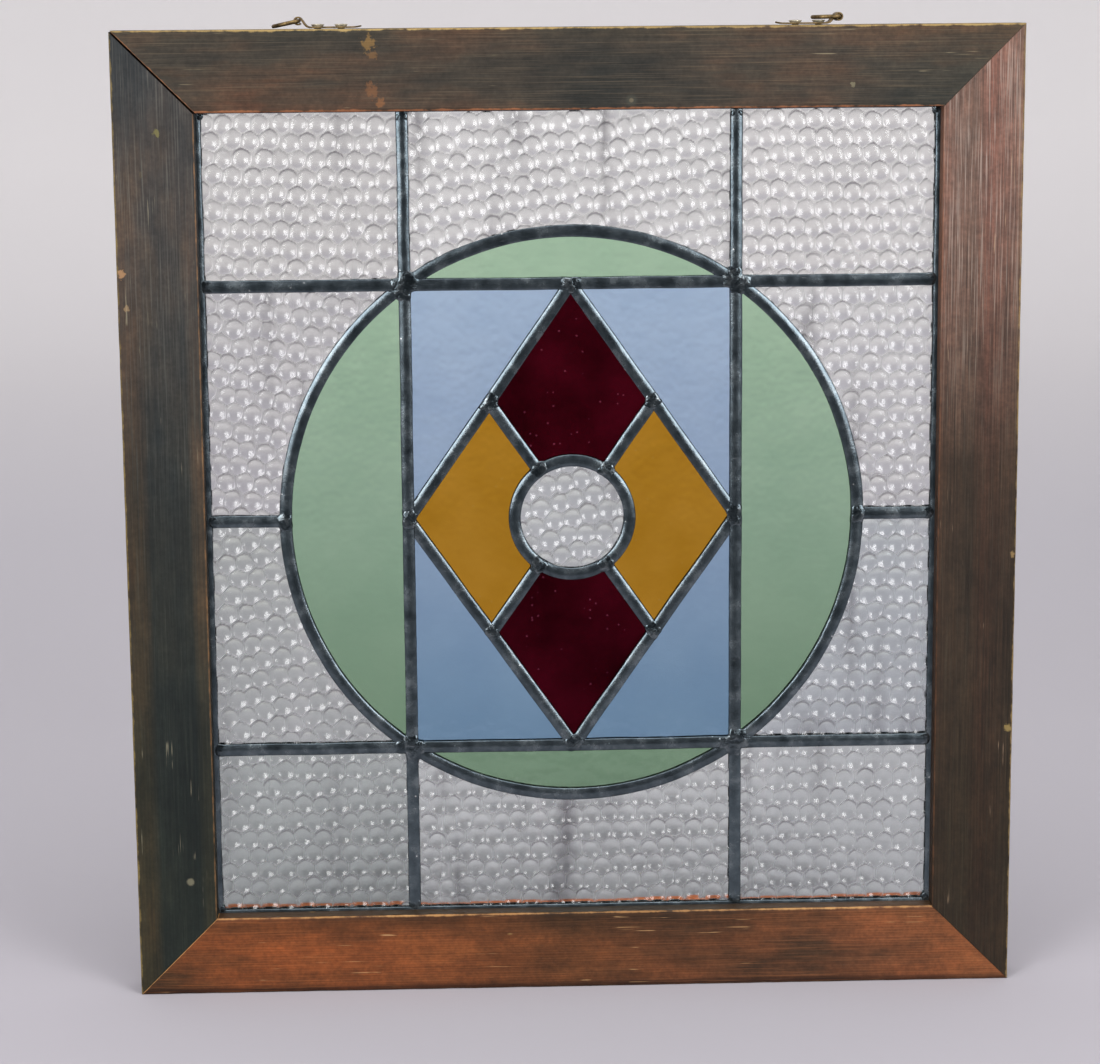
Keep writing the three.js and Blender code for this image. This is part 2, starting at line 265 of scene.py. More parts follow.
def lathe(bm, points, steps, near):
    verts = [bm.verts.new(point) for point in points]
    edges = [bm.edges.new(pair) for pair in zip(verts, verts[1:])]
    turnRound(bm, verts + edges, steps)
    bmesh.ops.remove_doubles(bm, verts=bm.verts, dist=near)
    bmesh.ops.recalc_face_normals(bm, faces=bm.faces)


# A section from a few corners; rounded lists (corners, how far, segments).
def outlineOf(bm, points, rounded):
    verts = [bm.verts.new((x, y, 0)) for x, y in points]
    bm.faces.new(verts)
    for picks, offset, segments in rounded:
        bmesh.ops.bevel(
            bm, geom=[verts[i] for i in picks], offset=offset, segments=segments,
            profile=0.5, affect="VERTICES", material=-1,
        )


# Draws the section out along z.
def run(bm, length, step):
    bmesh.ops.delete(bm, geom=bm.faces[:], context="FACES_ONLY")
    steps = max(1, round(length / step))
    bmesh.ops.spin(
        bm, geom=bm.verts[:] + bm.edges[:], cent=(0, 0, 0), axis=(0, 0, 1),
        dvec=(0, 0, length / steps), angle=0, steps=steps,
    )


# ---- Wood ----
woodShape = {
    "arris": 1.0, "arrisSegments": 3, "faceStep": 1.7, "alongStep": 2.6,
    "wear": 0.38, "knock": 13.0, "swell": 0.09, "swellLength": 45.0,
    "tightJoint": 0.14, "openFront": 0.85, "play": 0.3, "stain": 0.76,
}
frontY = cadBox[0].y / mm
backY = cadBox[1].y / mm
railWidth = -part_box("top_rail")[0].z / mm


def woodFinish(name, look):
    finish, tree, shader = newFinish(name)
    alongX = look["along"] == "x"

    def lengthways(share, **moves):
        return stretched(tree, (share, 1, 1) if alongX else (1, 1, share), **moves)

    def sided(sides):   # one value near the outer edge, one near the sight edge
        return spread(tree, inner, 0.4, 0.6, *sides)

    plain = stretched(tree)
    inner = attribute(tree, "inner")
    grain = lengthways(0.014)
    broad = lengthways(0.35, shift=look["shift"])
    place = addNode(tree, "SeparateXYZ", {"Vector": plain}).outputs["X" if alongX else "Z"]
    start, end, lift = look["drift"]
    slant = spread(tree, place, start, end, -lift, lift)
    patches = figure(tree, "ADD", mottle(tree, broad, 17, 5, 0.62), slant)
    color = ramp(tree, patches, *look["tones"])
    crumbs = mottle(tree, plain, 420, 4, 0.65)
    chewed = mottle(tree, plain, 130, 5, 0.7)
    for pattern, depth in (
        (mottle(tree, broad, 75, 4, 0.7), (0.22, 0.2, 0.18)),
        (chewed, (0.18, 0.16, 0.14)), (crumbs, (0.16, 0.16, 0.16)),
    ):
        dark, light = ([1 + sign * value for value in depth] for sign in (-1, 1))
        color = tinted(tree, color, ramp(tree, pattern, (0.34, dark), (0.66, light)))
    banded = tinted(tree, color, ramp(tree, inner, *look["bands"]))
    color = mixed(tree, fade(tree, place, *look["bandReach"]), color, banded)
    stain = woodShape["stain"]
    falls = [(at, [value * stain for value in share]) for at, share in look["falls"]]
    falls = ramp(tree, grown(tree, place, 1 / look["reach"], look["rise"]), *falls)

    streaks = mottle(tree, grain, 560, 4, 0.74)
    fibres = mottle(tree, grain, 1300, 3, 0.65)
    fibre = look["fibre"]
    fibreShare = grown(tree, fade(tree, place, *look["fibreReach"]), fibre * 0.75, fibre * 0.25)
    rings = addNode(
        tree, "TexWave",
        {
            "Vector": lengthways(0.02, shift=(0.0, 0.09, 0.06) if alongX else (0.13, 0.09, 0)),
            "Scale": look["ringScale"], "Distortion": look["ringWander"],
            "Detail": 3.0, "Detail Scale": 1.6,
        },
        wave_type="RINGS", rings_direction="X" if alongX else "Z",
    ).outputs["Fac"]
    patchy = fade(tree, mottle(tree, broad, 38, 3), 0.3, 0.62)
    streakShare = figure(tree, "MULTIPLY", fade(tree, streaks, 0.56, 0.36, look["streak"]), patchy)
    color = mixed(tree, streakShare, color, look["darkest"])
    color = mixed(tree, fade(tree, rings, 0.5, 0.95, look["ring"]), color, look["darkest"])
    fibreShare = figure(tree, "MULTIPLY", fade(tree, fibres, 0.5, 0.7), fibreShare)
    color = mixed(tree, fibreShare, color, look["pale"])
    reveal = attribute(tree, "reveal")
    color = mixed(tree, fade(tree, reveal, 0.4, 1.0, 0.8), color, look["reveal"])
    color = tinted(tree, color, falls)
    # Rear groove faces take the rear tone; the bottom rail's bright orange one is painted light on that
    # shadowed face behind the glass.
    color = mixed(tree, fade(tree, reveal, -0.4, -1.0, 0.9), color, look["rear"])
    scratches = fade(tree, mottle(tree, lengthways(0.03, turn=(0, 0.02, 0)), 900, 1), 0.68, 0.74)
    scratched = fade(tree, mottle(tree, plain, 45, 2), 0.54, 0.66, 0.45)
    color = mixed(tree, figure(tree, "MULTIPLY", scratches, scratched), color, look["scratch"])

    band = figure(tree, "MULTIPLY", figure(tree, "SUBTRACT", chewed, 0.3), sided(look["wornWidth"]))
    worn = fade(tree, figure(tree, "SUBTRACT", attribute(tree, "arris"), band), 0.6, -0.3)
    wornTones = [ramp(tree, streaks, (0.3, dark), (0.7, light)) for dark, light in look["wornTones"]]
    wornColor = mixed(tree, sided((0.0, 1.0)), *wornTones)
    color = mixed(tree, figure(tree, "MULTIPLY", worn, sided(look["worn"])), color, wornColor)
    jointBand = figure(tree, "MULTIPLY", chewed, look["jointWidth"])
    fromJoint = figure(tree, "SUBTRACT", attribute(tree, "joint"), jointBand)
    color = mixed(tree, fade(tree, fromJoint, 0.2, -0.3, look["jointWorn"]), color, look["jointTone"])
    chips = specks(tree, lengthways(0.4), 130, 0.14, 0.012)
    color = mixed(tree, figure(tree, "MULTIPLY", chips, 0.7), color, look["wornTones"][0][1])
    for x, z, size, ragged, share, spotColor in look.get("spots", ()):
        sockets = {0: plain, 1: (x, frontY * mm, z)}
        away = addNode(tree, "VectorMath", sockets, operation="DISTANCE").outputs["Value"]
        edge = figure(tree, "ADD", away, grown(tree, crumbs, size * ragged, -size * ragged / 2))
        color = mixed(tree, fade(tree, edge, size, size * 0.5, share), color, spotColor)
    shader.inputs["Specular IOR Level"].default_value = 0.22
    height = grown(tree, fibres, 0.6, streaks)
    height = figure(tree, "SUBTRACT", height, figure(tree, "MULTIPLY", rings, look["ring"]))
    dull = spread(tree, streaks, 0.3, 0.7, *look["gloss"])
    wire(tree, shader, color, dull, bumped(tree, height, look["relief"], 0.0006))
    return finish


# bands run from the outer edge to the sight edge, falls along the member, and a pair is for
# those two edges. A spot is x, z, size, raggedness, share and tone.
woods = {
    "top_rail": {
        "slot": "dark_wood", "along": "x", "shift": (0.31, 0.0, 0.17),
        "drift": (-0.25, 0.25, 0.05),
        "tones": (
            (0.34, tone(48, 48, 42)), (0.47, tone(68, 61, 50)),
            (0.58, tone(88, 67, 50)), (0.72, tone(116, 74, 50)),
        ),
        "bands": (
            (0.0, (1.1, 1.1, 1.0)), (0.2, (1, 1, 1)), (0.85, (1, 1, 1)), (1.0, (1.05, 0.98, 0.95)),
        ),
        "bandReach": (-2, -1),
        "reach": 0.508, "rise": 0.5,
        "falls": (
            (0.1, (0.8, 0.8, 0.82)), (0.5, (0.8, 0.79, 0.82)), (0.8, (0.95, 0.92, 0.95)),
            (0.93, (0.8, 0.88, 0.92)),
        ),
        "darkest": tone(32, 33, 29), "pale": tone(122, 106, 82), "scratch": tone(150, 138, 110),
        "ringScale": 205, "ringWander": 1.4, "streak": 0.3, "ring": 0.12,
        "fibre": 0.34, "fibreReach": (-1, 0),
        "worn": (0.85, 0.75), "wornWidth": (3.8, 3.2),
        "wornTones": (
            (tone(122, 100, 58), tone(178, 152, 98)), (tone(128, 80, 52), tone(178, 116, 78)),
        ),
        "jointHold": (3.0, 0.0), "jointWidth": 1.7, "jointWorn": 0.7, "jointTone": tone(150, 98, 60),
        "reveal": tone(40, 32, 26), "rear": tone(60, 46, 34), "gloss": (0.5, 0.72), "relief": 0.5,
        "spots": (
            (0.034, -0.0405, 0.004, 0.4, 0.7, tone(58, 58, 50)),
            (0.034, -0.0405, 0.0016, 0.4, 0.8, tone(96, 88, 70)),
            (-0.111, -0.008, 0.0045, 3, 0.5, tone(138, 106, 56)),
            (-0.109, -0.014, 0.003, 3, 0.4, tone(128, 92, 50)),
            (-0.110, -0.034, 0.0045, 3, 0.45, tone(124, 82, 48)),
            (-0.105, -0.041, 0.003, 3, 0.45, tone(140, 92, 54)),
            (0.157, -0.033, 0.0016, 3, 0.5, tone(128, 122, 96)),
        ),
    },
    "bottom_rail": {
        "slot": "warm_wood", "along": "x", "shift": (0.12, 0.0, 0.43),
        "drift": (-0.26, 0.26, -0.02),
        "tones": (
            (0.33, tone(60, 43, 27)), (0.45, tone(98, 60, 34)),
            (0.56, tone(130, 76, 42)), (0.70, tone(152, 92, 52)),
        ),
        # The dark band at the outer edge is painted shade, standing in for the contact shadow under the
        # frame's bottom edge.
        "bands": (
            (0.0, (0.25, 0.26, 0.3)), (0.05, (0.34, 0.35, 0.38)), (0.1, (1.02, 1.02, 1.02)),
            (0.6, (1.12, 1.1, 1.06)), (0.85, (0.84, 0.9, 0.88)), (1.0, (0.7, 0.78, 0.76)),
        ),
        "bandReach": (-2, -1),
        "reach": 0.508, "rise": 0.5,
        "falls": (
            (0.08, (1.26, 1.0, 0.78)), (0.5, (0.56, 0.59, 0.6)), (0.85, (1.36, 1.24, 1.34)),
            (0.96, (1.0, 1.0, 1.05)),
        ),
        "darkest": tone(64, 40, 24), "pale": tone(168, 112, 68), "scratch": tone(196, 156, 108),
        "ringScale": 205, "ringWander": 0.9, "streak": 0.26, "ring": 0.18,
        "fibre": 0.22, "fibreReach": (-1, 0),
        "worn": (0.3, 0.8), "wornWidth": (1.4, 2.6),
        "wornTones": ((tone(84, 66, 40), tone(150, 122, 76)), (tone(140, 96, 52), tone(196, 150, 94))),
        "jointHold": (0.0, 0.42), "jointWidth": 0.8, "jointWorn": 0.75, "jointTone": tone(196, 146, 90),
        # Its bright rear tone is painted light on the shadowed groove face seen through the glass.
        "reveal": tone(64, 52, 35), "rear": tone(222, 118, 62), "gloss": (0.36, 0.6), "relief": 0.3,
    },
    "left_stile": {
        "slot": "dark_wood", "along": "z", "shift": (0.77, 0.0, 0.21),
        "drift": (-0.50, -0.05, 0.06),
        "tones": (
            (0.33, tone(38, 41, 39)), (0.46, tone(56, 54, 49)),
            (0.58, tone(72, 62, 52)), (0.74, tone(92, 70, 50)),
        ),
        "bands": (
            (0.0, (2.6, 1.65, 0.98)), (0.2, (2.3, 1.5, 0.92)), (0.32, (0.88, 1, 1)),
            (0.8, (0.88, 1, 1)), (0.88, (2.6, 1.85, 1.3)), (1.0, (3.0, 2.0, 1.4)),
        ),
        "bandReach": (-0.05, -0.34),
        "reach": 0.554, "rise": 1.0,
        "falls": ((0.12, (0.36, 0.49, 0.44)), (0.5, (0.34, 0.45, 0.52)), (0.8, (0.82, 0.94, 1.14))),
        "darkest": tone(30, 32, 31), "pale": tone(124, 114, 96), "scratch": tone(140, 134, 112),
        "ringScale": 190, "ringWander": 1.6, "streak": 0.42, "ring": 0.16,
        "fibre": 0.4, "fibreReach": (-0.5, -0.1),
        "worn": (0.75, 0.65), "wornWidth": (3.0, 1.8),
        "wornTones": ((tone(100, 84, 46), tone(152, 132, 78)), (tone(122, 86, 54), tone(172, 130, 86))),
        "jointHold": (0.4, 0.6), "jointWidth": 0.5, "jointWorn": 0.5, "jointTone": tone(140, 112, 70),
        "reveal": tone(48, 42, 34), "rear": tone(58, 50, 40), "gloss": (0.48, 0.7), "relief": 0.5,
        "spots": (
            (-0.2232, -0.4862, 0.0028, 0.4, 0.7, tone(112, 108, 88)),
            (-0.251, -0.134, 0.0026, 3, 0.6, tone(168, 128, 88)),
            (-0.249, -0.153, 0.0018, 3, 0.5, tone(150, 124, 90)),
            (-0.229, -0.056, 0.0022, 3, 0.5, tone(122, 116, 62)),
        ),
    },
    "right_stile": {
        "slot": "grey_wood", "along": "z", "shift": (0.05, 0.0, 0.66),
        "drift": (-0.50, -0.04, 0.08),
        "tones": (
            (0.3, tone(88, 62, 50)), (0.44, tone(112, 80, 66)),
            (0.58, tone(130, 92, 76)), (0.74, tone(150, 108, 90)),
        ),
        "bands": (
            (0.0, (0.95, 1.0, 0.85)), (0.08, (1, 1, 1)), (0.42, (1.14, 0.94, 0.92)),
            (0.6, (0.94, 1, 1)), (0.9, (1, 1, 1)), (1.0, (1.1, 0.98, 0.92)),
        ),
        "bandReach": (-2, -1),
        "reach": 0.554, "rise": 1.0,
        "falls": ((0.15, (0.18, 0.225, 0.165)), (0.55, (0.27, 0.32, 0.28)), (0.82, (1.0, 1.14, 1.24))),
        "darkest": tone(54, 40, 32), "pale": tone(182, 154, 136), "scratch": tone(176, 150, 122),
        "ringScale": 170, "ringWander": 2.0, "streak": 0.65, "ring": 0.22,
        "fibre": 0.75, "fibreReach": (-0.26, -0.14),
        "worn": (0.75, 0.35), "wornWidth": (3.0, 1.8),
        "wornTones": ((tone(104, 88, 52), tone(170, 142, 94)), (tone(112, 72, 50), tone(152, 100, 68))),
        "jointHold": (0.35, 0.25), "jointWidth": 0.6, "jointWorn": 0.45,
        "jointTone": tone(168, 124, 84),
        "reveal": tone(122, 76, 52), "rear": tone(46, 36, 30), "gloss": (0.5, 0.72), "relief": 0.8,
        "spots": (
            (0.2515, -0.402, 0.0026, 3, 0.6, tone(150, 128, 76)),
            (0.252, -0.300, 0.002, 3, 0.5, tone(158, 130, 84)),
        ),
    },
}


def frameMember(name, turn, middle, length, grooveDepth, openEnd):
    shape = woodShape
    bm = bmesh.new()
    grooveFront = (benchPlace @ Vector((0, 0, leadCrown))).y / mm - shape["play"]
    grooveBack = (benchPlace @ Vector((0, 0, -leadCrown))).y / mm + shape["play"]
    outlineOf(
        bm,
        [
            (-railWidth, frontY), (0, frontY), (0, backY), (-railWidth, backY),
            (-railWidth, grooveBack), (grooveDepth - railWidth, grooveBack),
            (grooveDepth - railWidth, grooveFront), (-railWidth, grooveFront),
        ],
        [(range(4), shape["arris"], shape["arrisSegments"])],
    )
    for edge in bm.edges[:]:
        cuts = int(edge.calc_length() / shape["faceStep"])
        if cuts:
            bmesh.ops.subdivide_edges(bm, edges=[edge], cuts=cuts)
    run(bm, length, shape["alongStep"])
    bmesh.ops.translate(bm, vec=(0, 0, -length / 2), verts=bm.verts)

    # The mitres. An open joint is open at the front and closes towards the back.
    for end in (-1, 1):
        lean = (shape["openFront"] - shape["tightJoint"]) / (backY - frontY) if end == openEnd else 0
        point = Vector((0, 0, end * (length / 2 - shape["tightJoint"] - lean * backY)))
        trim(bm, point, (-1, -lean, end))
    closeEnds(bm)

    arrisLayer = bm.verts.layers.float.new("arris")
    jointLayer = bm.verts.layers.float.new("joint")
    revealLayer = bm.verts.layers.float.new("reveal")
    innerLayer = bm.verts.layers.float.new("inner")
    for vert in bm.verts:
        x, y, z = vert.co
        across = min(-x, x + railWidth)
        deep = min(y - frontY, backY - y)
        toArris = math.hypot(across, deep)
        vert[arrisLayer] = toArris
        vert[innerLayer] = -x / railWidth
        if x < 0.1 - railWidth:
            vert[revealLayer] = 1 if y < grooveFront + 0.1 else -1 if y > grooveBack - 0.1 else 0
        hold = woods[name]["jointHold"][z > 0]
        vert[jointLayer] = (length / 2 + x - abs(z)) / math.sqrt(2) + hold
        inGroove = -railWidth + 0.01 < x < grooveDepth - railWidth + 0.01
        if across < 0 or inGroove and grooveFront - 0.01 < y < grooveBack + 0.01:
            continue
        swell = shape["swell"] * (1 + noise.noise(Vector((x, y, z)) / shape["swellLength"]))
        spot = Vector((x, y, z)) / shape["knock"]
        knock = max(0, noise.noise(spot + Vector((len(name), 0, 0))) + 0.2)
        near = max(0, 1 - toArris / 2.4) ** 1.5
        inward = swell * 0.5 + shape["wear"] * knock * near
        if deep < 1.01:
            vert.co.y += inward if y < 0 else -inward
        if across < 1.01:
            vert.co.x += -inward if x > -railWidth / 2 else inward
    origin = Vector((middle[0], 0, middle[1])) * mm
    turned = Matrix.Rotation(math.radians(turn), 4, "Y") @ Matrix.Scale(mm, 4)
    finish = woodFinish(name, woods[name])
    place = Matrix.Translation(origin) @ turned
    makePiece(bm, name + "_wood", finish, [name], place=place)


stileGroove = borderOuter.x - sightX + woodShape["play"]
railGroove = borderOuter.y - sightY + woodShape["play"]
fullWidth = (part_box("top_rail")[1].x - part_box("top_rail")[0].x) / mm
fullHeight = -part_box("bottom_rail")[0].z / mm
frameMember("top_rail", -90, (0, 0), fullWidth, railGroove, 1)
frameMember("bottom_rail", 90, (0, -fullHeight), fullWidth, railGroove, 0)
frameMember("left_stile", 180, (-fullWidth / 2, -fullHeight / 2), fullHeight, stileGroove, -1)
frameMember("right_stile", 0, (fullWidth / 2, -fullHeight / 2), fullHeight, stileGroove, 0)
print("wooden frame done")

# ---- Leads ----
leadShape = {
    "edge": 2.45, "crownHalf": 1.7, "channel": 1.8, "heartHalf": 0.8,
    "edgeRound": 0.45, "crownRound": 1.5, "step": 2.6, "borderWidth": 10.4, "sillMore": 0.35,
    "drift": 0.28, "driftLength": 30.0, "dent": 0.16, "dentLength": 6.0,
    "tones": ((0.3, tone(58, 67, 72)), (0.5, tone(80, 90, 96)), (0.75, tone(118, 126, 130))),
    "worn": tone(150, 154, 156), "scratch": tone(176, 180, 182), "dust": tone(190, 192, 192),
    "gloss": (0.17, 0.31),
}


def leadFinish():
    finish, tree, shader = newFinish("aged_lead")
    plain = stretched(tree)
    cloud = mottle(tree, plain, 95, 5, 0.65)
    fine = mottle(tree, plain, 900, 3, 0.6)
    color = ramp(tree, cloud, *leadShape["tones"])
    color = mixed(tree, fade(tree, fine, 0.6, 0.75, 0.35), color, leadShape["worn"])
    scratch = mottle(tree, stretched(tree, (0.12, 1, 1), turn=(0, 0.7, 0)), 1100, 1)
    color = mixed(tree, fade(tree, scratch, 0.74, 0.8, 0.5), color, leadShape["scratch"])
    color = mixed(tree, specks(tree, plain, 260, 0.16, 0.05), color, leadShape["dust"])
    shader.inputs["Metallic"].default_value = 0.85
    dull = spread(tree, cloud, 0.3, 0.7, *leadShape["gloss"])
    wire(tree, shader, color, dull, bumped(tree, figure(tree, "ADD", fine, cloud), 0.25, 0.0003))
    return finish


leadMetal = leadFinish()


def leadSection(bm, half=leadHalf):
    shape = leadShape
    crownHalf = half - leadHalf + shape["crownHalf"]
    flange = [
        (shape["heartHalf"], shape["channel"]), (half, shape["channel"]),
        (half, shape["edge"]), (crownHalf, leadCrown),
    ]
    front = flange + [(-x, y) for x, y in reversed(flange)]
    points = front + [(-x, -y) for x, y in front]
    count = len(points)
    edges = [i for i in range(count) if abs(abs(points[i][1]) - shape["edge"]) < 1e-6]
    crowns = [i for i in range(count) if abs(points[i][1]) == leadCrown]
    outlineOf(bm, points, [(edges, shape["edgeRound"], 3), (crowns, shape["crownRound"], 5)])


def straightLead(bm, start, end, half=leadHalf, mitres=()):
    part = bmesh.new()
    leadSection(part, half)
    along = (end - start).normalized()
    run(part, (end - start).length, leadShape["step"])
    turn = Matrix((
        (-along.y, 0, along.x, start.x), (along.x, 0, along.y, start.y), (0, 1, 0, 0), (0, 0, 0, 1),
    ))
    bmesh.ops.transform(part, matrix=turn, verts=part.verts)
    for point, outward in mitres:
        trim(part, point, outward)
    closeEnds(part)
    addTo(bm, part)


def addTo(bm, part):
    mesh = meshOf(part, "part")
    bm.from_mesh(mesh)
    bpy.data.meshes.remove(mesh)


def roundLead(bm, radius, trims=()):
    part = bmesh.new()
    leadSection(part)
    bmesh.ops.delete(part, geom=part.faces[:], context="FACES_ONLY")
    standing = Matrix.Translation((radius, 0, 0)) @ Matrix.Rotation(math.pi / 2, 4, "X")
    bmesh.ops.transform(part, matrix=standing, verts=part.verts)
    steps = round(2 * math.pi * radius / leadShape["step"])
    turnRound(part, part.verts[:] + part.edges[:], steps)
    for point, outward in trims:
        trim(part, point, outward)
    closeEnds(part)
    addTo(bm, part)


def drift(x, y):   # how far the leads wander from the drawn lines here
    spot = Vector((x, y, 0)) / leadShape["driftLength"]
    return [leadShape["drift"] * noise.noise(spot + Vector((far, 0, 0))) for far in (0, 50)]


def layLead(bm, name, nodes):
    for vert in bm.verts:
        x, y, z = vert.co
        across, up = drift(x, y)
        dent = max(0, noise.noise(vert.co / leadShape["dentLength"])) * leadShape["dent"]
        if abs(z) > leadShape["channel"] + 0.1:
            vert.co.z -= math.copysign(dent, z)
        vert.co.x += across
        vert.co.y += up
    makePiece(bm, name, leadMetal, nodes)


def lead(name, start, end, mitres=()):
    bm = bmesh.new()
    straightLead(bm, Vector((*start, 0)), Vector((*end, 0)), mitres=mitres)
    layLead(bm, name.replace("came", "lead"), [name])


borderHalf = leadShape["borderWidth"] / 2
borderX = borderOuter.x - borderHalf
borderY = borderOuter.y - borderHalf
bm = bmesh.new()
for x, y in ((1, 0), (0, 1), (-1, 0), (0, -1)):
    along = Vector((-y, x, 0))
    wide = borderHalf + (leadShape["sillMore"] if y < 0 else 0)
    center = Vector((x * borderX, y * borderY + wide - borderHalf, 0))
    reach = along * (borderOuter.y if x else borderOuter.x)
    mitres = []
    for end in (-1, 1):
        toX, toY = (end, y) if y else (x, end)
        outward = Vector((toX, -toY, 0)) if y else Vector((-toX, toY, 0))
        mitres.append((Vector((borderX * toX, borderY * toY, 0)), outward))
    straightLead(bm, center - reach, center + reach, wide, mitres)
layLead(bm, "border_lead", ["border_came"])

innerX = borderX - borderHalf
innerY = borderY - borderHalf
for side, x in sides.items():
    lead(f"vertical_came_{side}", (x * leadX, -innerY), (x * leadX, innerY))
    lead(f"side_came_{side}", (x * (circleRadius + leadHalf), 0), (x * innerX, 0))
    for level, y in levels.items():
        lead(
            f"horizontal_came_{level}_{side}",
            (x * (leadX + leadHalf), y * leadY), (x * innerX, y * leadY),
        )
    bm = bmesh.new()
    roundLead(bm, circleRadius, [
        (Vector((x * (leadX + leadHalf), 0, 0)), (-x, 0, 0)),
        (Vector((0, leadY - leadHalf, 0)), (0, 1, 0)), (Vector((0, leadHalf - leadY, 0)), (0, -1, 0)),
    ])
    layLead(bm, f"arc_lead_{side}", [f"arc_came_{side}"])
for level, y in levels.items():
    end = leadX - leadHalf
    lead(f"horizontal_came_{level}_center", (-end, y * leadY), (end, y * leadY))
    bm = bmesh.new()
    roundLead(bm, circleRadius, [
        (Vector((0, y * (leadY + leadHalf), 0)), (0, -y, 0)),
        (Vector((end, 0, 0)), (1, 0, 0)), (Vector((-end, 0, 0)), (-1, 0, 0)),
    ])
    layLead(bm, f"arc_lead_{level}", [f"arc_came_{level}"])
for half, y in halves.items():
    for side, x in sides.items():
        tip, corner = Vector((0, y * leadY, 0)), Vector((x * leadX, 0, 0))
        lead(
            f"diamond_came_{half}_{side}", tip.xy, corner.xy,
            [
                (Vector((0, 0, 0)), (-x, 0, 0)), (Vector((0, 0, 0)), (0, -y, 0)),
                (Vector((0, y * (leadY - leadHalf), 0)), (0, y, 0)),
                (Vector((x * (leadX - leadHalf), 0, 0)), (x, 0, 0)),
            ],
        )
        out = Vector((x * math.cos(spokeAngle), y * math.sin(spokeAngle), 0))
        edgeNormal = Vector((x * leadY, y * leadX, 0)).normalized()
        edgePoint = Vector((x * leadX / 2, y * leadY / 2, 0)) - edgeNormal * leadHalf
        lead(
            f"spoke_came_{half}_{side}", (out * (ringRadius + leadHalf - 0.2)).xy,
            (out * circleRadius / 2).xy, [(edgePoint, edgeNormal)],
        )
bm = bmesh.new()
roundLead(bm, ringRadius)
layLead(bm, "ring_lead", ["ring_came"])
print("leads done")

# ---- Solder joints ----
solderShape = {
    "half": 3.5, "core": 3.3, "arm": 6.6, "base": 2.35, "height": 1.2, "sunk": 0.9,
    "wrinkle": 0.24, "wrinkleLength": 2.6, "ragged": 0.16, "raggedTurns": 1.6, "margin": 0.3,
    "tones": ((0.3, tone(52, 61, 66)), (0.5, tone(78, 87, 92)), (0.72, tone(126, 132, 135))),
    "gloss": (0.12, 0.26),
}


def solderFinish():
    finish, tree, shader = newFinish("solder")
    cloud = mottle(tree, stretched(tree), 240, 4, 0.6, 0.6)
    shader.inputs["Metallic"].default_value = 0.9
    dull = spread(tree, cloud, 0.3, 0.7, *solderShape["gloss"])
    wire(tree, shader, ramp(tree, cloud, *solderShape["tones"]), dull, bumped(tree, cloud, 0.8, 0.0006))
    return finish


solderMetal = solderFinish()


def solderDrop(bm, x, y, arms, size, tall, facing, rng):
    shape = solderShape
    made = bmesh.ops.create_icosphere(bm, subdivisions=4 if size > 1.3 else 3, radius=1)
    lengths = [
        (math.radians(angle), shape["arm"] * size * share * rng.uniform(0.8, 1.15))
        for angle, share in arms
    ]
    seed = Vector((rng.uniform(0, 90), rng.uniform(0, 90), 0))

    def outline(angle):
        radius = shape["core"] * (0.6 + 0.4 * size)
        for arm, length in lengths:
            turn = abs(math.remainder(angle - arm, 2 * math.pi))
            if turn < math.pi / 2:
                radius = max(radius, min(length, shape["half"] / max(math.sin(turn), 1e-3)))
        spot = Vector((math.cos(angle), math.sin(angle), 0)) * shape["raggedTurns"] + seed
        return radius * (1 + shape["ragged"] * noise.noise(spot))

    # The outline every 5 degrees, each the mean of five, so that its corners are soft.
    nearby = [math.radians(5 * i) for i in range(-2, 3)]
    outlines = [sum(outline(math.radians(5 * i) + s) for s in nearby) / 5 for i in range(73)]
    for vert in made["verts"]:
        share = min(1, vert.co.xy.length)
        angle = math.atan2(vert.co.y, vert.co.x) % (2 * math.pi)
        slot = math.degrees(angle) / 5
        first = int(slot)
        radius = outlines[first] + (outlines[min(first + 1, 72)] - outlines[first]) * (slot - first)
        px = x + math.cos(angle) * share * radius
        py = y + math.sin(angle) * share * radius
        wrinkle = noise.noise(Vector((px, py, facing)) / shape["wrinkleLength"] + seed)
        if vert.co.z > 0:
            z = shape["base"] + shape["height"] * tall * (0.75 + 0.25 * size) * vert.co.z ** 0.85
            z += shape["wrinkle"] * wrinkle * vert.co.z
        else:
            z = shape["base"] + shape["sunk"] * vert.co.z
        across, up = drift(px, py)
        limitX, limitY = sightX - shape["margin"], sightY - shape["margin"]
        vert.co.x = max(-limitX, min(limitX, px + across))
        vert.co.y = max(-limitY, min(limitY, py + up))
        vert.co.z = z * facing


def solderJoint(name, x, y, arms, size=1.0, short=(), tall=1.0):
    rng = random.Random(name)
    arms = [(angle, 1) for angle in arms] + [(angle, 0.62) for angle in short]
    bm = bmesh.new()
    for facing in (1, -1):
        solderDrop(bm, x, y, arms, size, tall, facing, rng)
    makePiece(bm, f"solder_{name}", solderMetal, crease=80)


def leftOrRight(x, angle):
    return angle if x > 0 else 180 - angle


def upOrDown(y, angle):
    return angle if y > 0 else -angle


